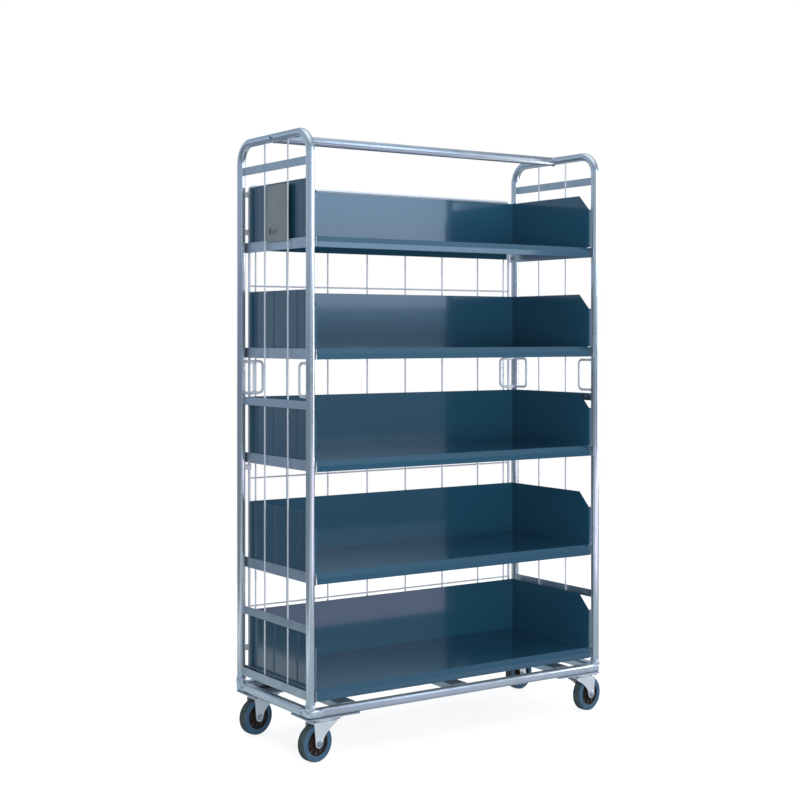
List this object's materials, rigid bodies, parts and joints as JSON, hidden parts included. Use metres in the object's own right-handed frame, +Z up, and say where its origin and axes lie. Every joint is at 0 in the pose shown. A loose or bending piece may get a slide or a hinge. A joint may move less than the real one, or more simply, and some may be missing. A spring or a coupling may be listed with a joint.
{
  "type": "book cart",
  "caption": "Tall rolling cart with bent-tube side frames, wire sides and back, open-fronted sheet trays on rails and swivel casters.",
  "frame": {"origin": "on the floor, at the middle of the plan", "axes": "+Z up, +X to the right along the length, the open front faces -Y"},
  "size_m": [1.1342, 0.442, 1.8],
  "materials": {
    "zinc_tube": "bright zinc-plated round and rectangular tube",
    "zinc_strip": "zinc-plated flat bar and angle, blue passivated",
    "zinc_wire": "bright zinc-plated drawn wire",
    "zinc_caster": "zinc-plated pressed sheet",
    "fastener": "zinc-plated screws and bolts",
    "tray_paint": "glossy dark steel-blue powder coat",
    "label_plate": "matt sage grey",
    "wheel_core": "dark moulded core",
    "tyre": "blue-grey solid rubber"
  },
  "bodies": {
    "cart": {"left_side_frame": "zinc_tube", "left_upper_strap": "zinc_strip", "left_middle_strap": "zinc_strip", "left_lower_strap": "zinc_strip", "left_bottom_bar": "zinc_strip", "left_side_wires": "zinc_wire", "left_rail_1": "zinc_strip", "left_rail_2": "zinc_strip", "left_rail_3": "zinc_strip", "left_rail_4": "zinc_strip", "left_rail_5": "zinc_strip", "right_side_frame": "zinc_tube", "right_upper_strap": "zinc_strip", "right_middle_strap": "zinc_strip", "right_lower_strap": "zinc_strip", "right_bottom_bar": "zinc_strip", "right_side_wires": "zinc_wire", "right_rail_1": "zinc_strip", "right_rail_2": "zinc_strip", "right_rail_3": "zinc_strip", "right_rail_4": "zinc_strip", "right_rail_5": "zinc_strip", "top_tie_bar": "zinc_tube", "rear_mesh_panel": "zinc_wire", "panel_clips": "zinc_strip", "handle_loops": "zinc_wire", "label_plate": "label_plate", "base_front_rail": "zinc_tube", "base_rear_rail": "zinc_tube", "base_left_rail": "zinc_tube", "base_right_rail": "zinc_tube", "base_cross_members": "zinc_strip", "corner_sockets": "zinc_tube", "corner_plates": "zinc_strip", "caster_plates": "zinc_caster", "caster_kingpins": "zinc_caster", "caster_bolts": "fastener", "frame_screws": "fastener", "tray_bottom": "tray_paint", "tray_lower": "tray_paint", "tray_middle": "tray_paint", "tray_upper": "tray_paint", "tray_top": "tray_paint"},
    "front_left_caster": {"front_left_fork": "zinc_caster", "front_left_axle": "fastener"},
    "front_left_wheel": {"front_left_wheel_core": "wheel_core", "front_left_tyre": "tyre"},
    "front_right_caster": {"front_right_fork": "zinc_caster", "front_right_axle": "fastener"},
    "front_right_wheel": {"front_right_wheel_core": "wheel_core", "front_right_tyre": "tyre"},
    "rear_left_caster": {"rear_left_fork": "zinc_caster", "rear_left_axle": "fastener"},
    "rear_left_wheel": {"rear_left_wheel_core": "wheel_core", "rear_left_tyre": "tyre"},
    "rear_right_caster": {"rear_right_fork": "zinc_caster", "rear_right_axle": "fastener"},
    "rear_right_wheel": {"rear_right_wheel_core": "wheel_core", "rear_right_tyre": "tyre"}
  },
  "joints": [
    {"name": "front_left_swivel", "type": "hinge", "parent": "cart", "child": "front_left_caster", "pos_m": [-0.485, -0.175, 0.1157], "axis": [0, 0, 1], "continuous": true},
    {"name": "front_left_wheel_spin", "type": "hinge", "parent": "front_left_caster", "child": "front_left_wheel", "pos_m": [-0.51258, -0.17986, 0.054], "axis": [-0.1736, 0.9848, 0], "continuous": true},
    {"name": "front_right_swivel", "type": "hinge", "parent": "cart", "child": "front_right_caster", "pos_m": [0.485, -0.175, 0.1157], "axis": [0, 0, 1], "continuous": true},
    {"name": "front_right_wheel_spin", "type": "hinge", "parent": "front_right_caster", "child": "front_right_wheel", "pos_m": [0.51258, -0.17014, 0.054], "axis": [0.1736, -0.9848, 0], "continuous": true},
    {"name": "rear_left_swivel", "type": "hinge", "parent": "cart", "child": "rear_left_caster", "pos_m": [-0.485, 0.175, 0.1157], "axis": [0, 0, 1], "continuous": true},
    {"name": "rear_left_wheel_spin", "type": "hinge", "parent": "rear_left_caster", "child": "rear_left_wheel", "pos_m": [-0.51258, 0.17014, 0.054], "axis": [-0.1736, 0.9848, 0], "continuous": true},
    {"name": "rear_right_swivel", "type": "hinge", "parent": "cart", "child": "rear_right_caster", "pos_m": [0.485, 0.175, 0.1157], "axis": [0, 0, 1], "continuous": true},
    {"name": "rear_right_wheel_spin", "type": "hinge", "parent": "rear_right_caster", "child": "rear_right_wheel", "pos_m": [0.51258, 0.17986, 0.054], "axis": [0.1736, -0.9848, 0], "continuous": true}
  ]
}
